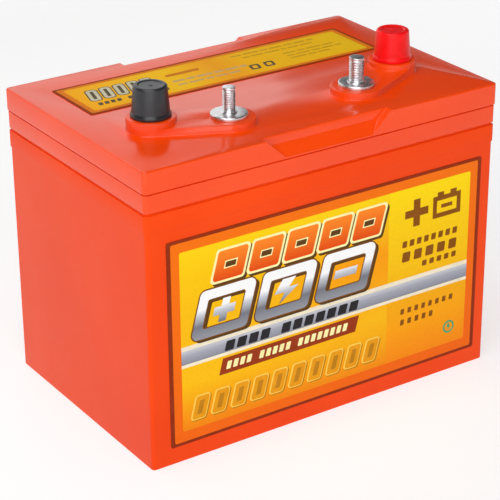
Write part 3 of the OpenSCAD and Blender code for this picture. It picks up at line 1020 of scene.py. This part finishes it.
def print_front_label():
    """Borders, gradients, big slanted icons and rows of bars. It holds no lettering."""
    middle = middle_of("front_label").x
    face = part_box("front_label")[0].y
    sheet = Sheet(right=(1, 0, 0), up=(0, 0, 1), out=(0, -1, 0), origin=(middle, face, 0))
    border = box_outline(-FRAME_U, FRAME_V[0], FRAME_U, FRAME_V[1], FRAME_CORNER)
    panel = panel_outline(-PANEL_U, PANEL_SPLIT_U, (0, 3))
    side_panel = panel_outline(PANEL_SPLIT_U, PANEL_U, (1, 2))
    paint(nodes["front_label"], border_ink)
    sheet.printed("front_label_frame", [border], 0, frame_ink)
    sheet.printed("front_label_panel", [panel], 1, panel_ink)
    sheet.printed("front_label_side_panel", [side_panel], 1, side_panel_ink)
    print_gauges(sheet)
    print_big_icons(sheet)
    print_stripe(sheet)
    print_pattern(sheet)
    print_side_panel(sheet)


# ---------------------------------------------------------------- top label

TOP_FRAME = (-107, 13, 107, 60, 1.2)
TOP_PANEL = (-103.5, 16, 103.5, 57, 1.5)
TOP_ICONS = (5, -97.5, 30.5, 7.2, 18, 9.8)
TOP_SMALL_ICONS = (2, 16, 22.5, 7.5, 8.5, 11)
TOP_LINE = ([4, 7], -97, 22, 4.4, 4.4, 0.68, 0.8, SLANT, 0.5)
TOP_BAR = (-37, 42, -12, 46, 0.6)
PALE_ROWS = [([9, 6, 12, 7, 10, 5], -38, 31, 3.2), ([7, 11, 6, 9, 8], -38, 24.5, 2.6)]
FINE_ROWS = [
    ([8, 12, 6, 10, 7, 9, 5], 18, 50, 2.6),
    ([5, 9, 12, 4, 8, 10], 24, 44.5, 2.2),
    ([10, 6, 12, 8], 50, 36.5, 2.2),
    ([6, 11, 7, 9, 5], 50, 31.5, 2.2),
    ([12, 7, 9], 50, 26.5, 2.2),
]


def print_top_label():
    """A framed strip with a row of icons at its left end and lines of bars along the rest."""
    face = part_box("top_label")[1].z
    sheet = Sheet(right=(1, 0, 0), up=(0, 1, 0), out=(0, 0, 1), origin=(0, 0, face))
    icons = slanted_row(*TOP_ICONS)
    small = slanted_row(*TOP_SMALL_ICONS)
    paint(nodes["top_label"], top_border_ink)
    sheet.printed("top_label_frame", [box_outline(*TOP_FRAME)], 0, top_frame_ink)
    sheet.printed("top_label_panel", [box_outline(*TOP_PANEL)], 1, top_panel_ink)
    sheet.printed("top_icon_edges", swollen(icons, 0.8, 2.9), 2, top_shadow_ink)
    frames = swollen(icons, 0, 2.2) + swollen(icons, -2.3, 0.6)
    sheet.printed("top_icon_frames", frames, 3, top_silver_ink)
    sheet.printed("top_blocks", block_row(*TOP_LINE), 2, top_shadow_ink)
    sheet.printed("top_bar", [box_outline(*TOP_BAR, SLANT)], 2, top_bar_ink)
    sheet.printed("top_pale_rows", bar_rows(PALE_ROWS), 2, top_pale_ink)
    sheet.printed("top_fine_rows", bar_rows(FINE_ROWS), 2, top_fine_ink)
    marks = []
    for icon in small:
        marks += swollen([icon], 0, 1.5) + swollen([icon], -1.8, 0.5)
    sheet.printed("top_small_icons", marks, 2, top_shadow_ink)


# ---------------------------------------------------------------- scene

CAMERA_AZIMUTH = -33.57
CAMERA_ELEVATION = 24.99
CAMERA_ROLL = -0.41
CAMERA_PLACE_MM = (-618.3, -928.8, 601.7)
CAMERA_LENS = 135.3
CAMERA_SENSOR = 36
CAMERA_CLIP_END = 50

# Place, target, size and watts of each area light.
LIGHTS = {
    "front_key": ((-1.1, -1.5, 0.95), (0, 0, 0.1), (1.9, 1.4), 21.5),
    "overhead": ((-0.45, -0.3, 1.6), (0, 0, 0.2), (1.2, 1.2), 14),
    "back_panel": ((-0.134, 0.7, 0.625), (-0.134, 0, 0.625), (1.23, 0.65), 2.6),
}

# The sky's brightness by the sine of the elevation.
HORIZON_TOP = 0.06
SKY_FROM = 0.16
HORIZON_GLOW = 0.9
SKY_GLOW = 0.08

FLOOR_REACH = 60
FLOOR_TONE = (0.4, 0.4, 0.4, 1)
NEAR_FLOOR = 0.3
FAR_FLOOR = 1.8
NEAR_GLOW = 0.64
FAR_GLOW = 1.0


def make_camera():
    azimuth, elevation = math.radians(CAMERA_AZIMUTH), math.radians(CAMERA_ELEVATION)
    roll = math.radians(CAMERA_ROLL)
    place = Vector(CAMERA_PLACE_MM) * MM
    back = Vector((
        math.sin(azimuth) * math.cos(elevation),
        -math.cos(azimuth) * math.cos(elevation),
        math.sin(elevation),
    ))
    level = Vector((math.cos(azimuth), math.sin(azimuth), 0))
    upright = back.cross(level)
    right = math.cos(roll) * level + math.sin(roll) * upright
    up = math.cos(roll) * upright - math.sin(roll) * level
    rows = [[right[k], up[k], back[k], place[k]] for k in range(3)]
    data = bpy.data.cameras.new("camera")
    data.lens = CAMERA_LENS
    data.sensor_width = CAMERA_SENSOR
    data.clip_end = CAMERA_CLIP_END
    camera = bpy.data.objects.new("camera", data)
    camera.matrix_world = Matrix(rows + [[0, 0, 0, 1]])
    bpy.context.scene.collection.objects.link(camera)
    bpy.context.scene.camera = camera


def make_light(name, place, target, size, power):
    data = bpy.data.lights.new(name, "AREA")
    data.shape = "RECTANGLE"
    data.size, data.size_y = size
    data.energy = power
    light = bpy.data.objects.new(name, data)
    light.location = place
    light.rotation_euler = (Vector(target) - Vector(place)).to_track_quat("-Z", "Y").to_euler()
    bpy.context.scene.collection.objects.link(light)


def make_world():
    """A dim white sky over a pale band at the horizon."""
    world = bpy.data.worlds.new("surroundings")
    world.use_nodes = True
    bpy.context.scene.world = world
    tree = world.node_tree
    direction = tree.nodes.new("ShaderNodeTexCoord")
    split = tree.nodes.new("ShaderNodeSeparateXYZ")
    glow = tree.nodes.new("ShaderNodeMapRange")
    glow.inputs["From Min"].default_value = HORIZON_TOP
    glow.inputs["From Max"].default_value = SKY_FROM
    glow.inputs["To Min"].default_value = HORIZON_GLOW
    glow.inputs["To Max"].default_value = SKY_GLOW
    background = tree.nodes["Background"]
    background.inputs["Color"].default_value = (1, 1, 1, 1)
    tree.links.new(direction.outputs["Generated"], split.inputs["Vector"])
    tree.links.new(split.outputs["Z"], glow.inputs["Value"])
    tree.links.new(glow.outputs["Result"], background.inputs["Strength"])


def make_floor():
    """A wide sheet of pale paper with a soft glow that grows with distance."""
    data = bpy.data.meshes.new("floor")
    corners = [(-1, -1), (1, -1), (1, 1), (-1, 1)]
    data.from_pydata([(x * FLOOR_REACH, y * FLOOR_REACH, 0) for x, y in corners], [], [(0, 1, 2, 3)])
    floor = bpy.data.objects.new("floor", data)
    s = Shader("floor_paper")
    s.set(Base_Color=FLOOR_TONE, Roughness=0.7, Emission_Color=(1, 1, 1, 1))
    glow = s.ramp(s.outward(NEAR_FLOOR, FAR_FLOOR), [(0, NEAR_GLOW), (1, FAR_GLOW)])
    s.link(glow, s.surface.inputs["Emission Strength"])
    paint(floor, s.material)
    bpy.context.scene.collection.objects.link(floor)


paint_cad_nodes()
make_case()
for side in ("negative", "positive"):
    make_post(side)
    make_stud(side)
    make_cap(side)
print_front_label()
print_top_label()

make_camera()
make_world()
make_floor()
for name, (place, target, size, power) in LIGHTS.items():
    make_light(name, place, target, size, power)
bpy.context.scene.view_settings.view_transform = "Standard"
